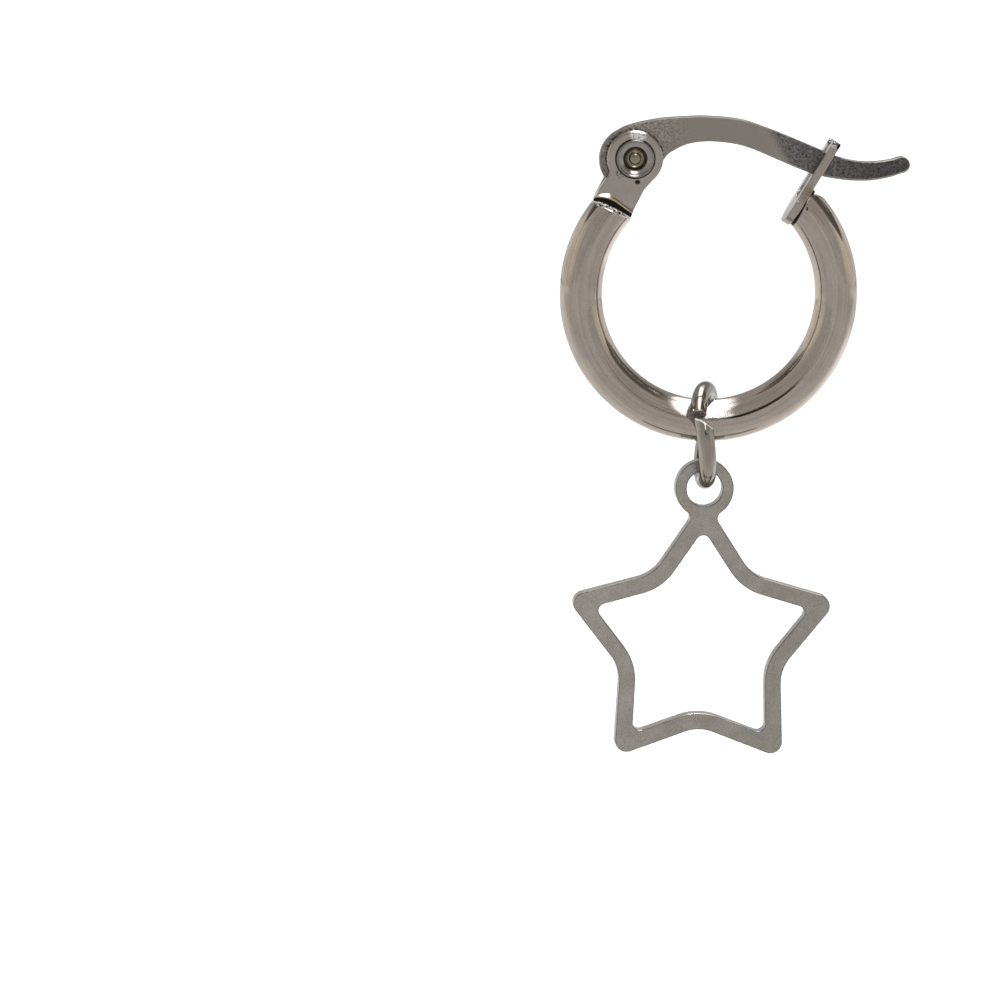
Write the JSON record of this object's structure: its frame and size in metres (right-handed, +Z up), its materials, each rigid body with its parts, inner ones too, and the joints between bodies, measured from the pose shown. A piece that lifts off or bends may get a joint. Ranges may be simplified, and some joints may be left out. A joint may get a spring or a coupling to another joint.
{
  "type": "hoop charm earring",
  "caption": "Small round-wire hoop earring with a hinged lever post that snaps into a forked catch, and an open star charm hanging from a jump ring.",
  "frame": {"origin": "the ear seat: the underside of the lever's crown, where the hole in the ear lobe rests", "axes": "+Z up against gravity as the earring hangs, +X in the hoop's plane from the hinge towards the catch, +Y from the front, with the cupped rivet head, to the back"},
  "size_m": [0.0163, 0.005, 0.0301],
  "materials": {
    "polished_steel": "polished plain stainless steel with fine lengthwise streaks",
    "rivet_steel": "turned stainless steel, half polished",
    "lever_steel": "satin stainless steel, grainy towards the tip",
    "ring_steel": "polished stainless steel wire",
    "satin_steel": "satin stainless steel face with polished cut edges"
  },
  "bodies": {
    "hoop": {"hoop": "polished_steel", "hinge_rivet": "rivet_steel"},
    "lever": {"lever": "lever_steel"},
    "ring": {"jump_ring": "ring_steel"},
    "star": {"star_charm": "satin_steel"}
  },
  "joints": [
    {"name": "lever_hinge", "type": "hinge", "parent": "hoop", "child": "lever", "pos_m": [-0.00368, 0, -0.00082], "axis": [0, -1, 0], "range_deg": [0, 70]},
    {"name": "ring_swing", "type": "hinge", "parent": "hoop", "child": "ring", "pos_m": [-0.00002, 0, -0.01312], "axis": [1, 0, 0], "range_deg": [-90, 90]},
    {"name": "star_swing", "type": "hinge", "parent": "ring", "child": "star", "pos_m": [-0.00001, 0, -0.01597], "axis": [0, 1, 0], "range_deg": [-75, 75]}
  ]
}
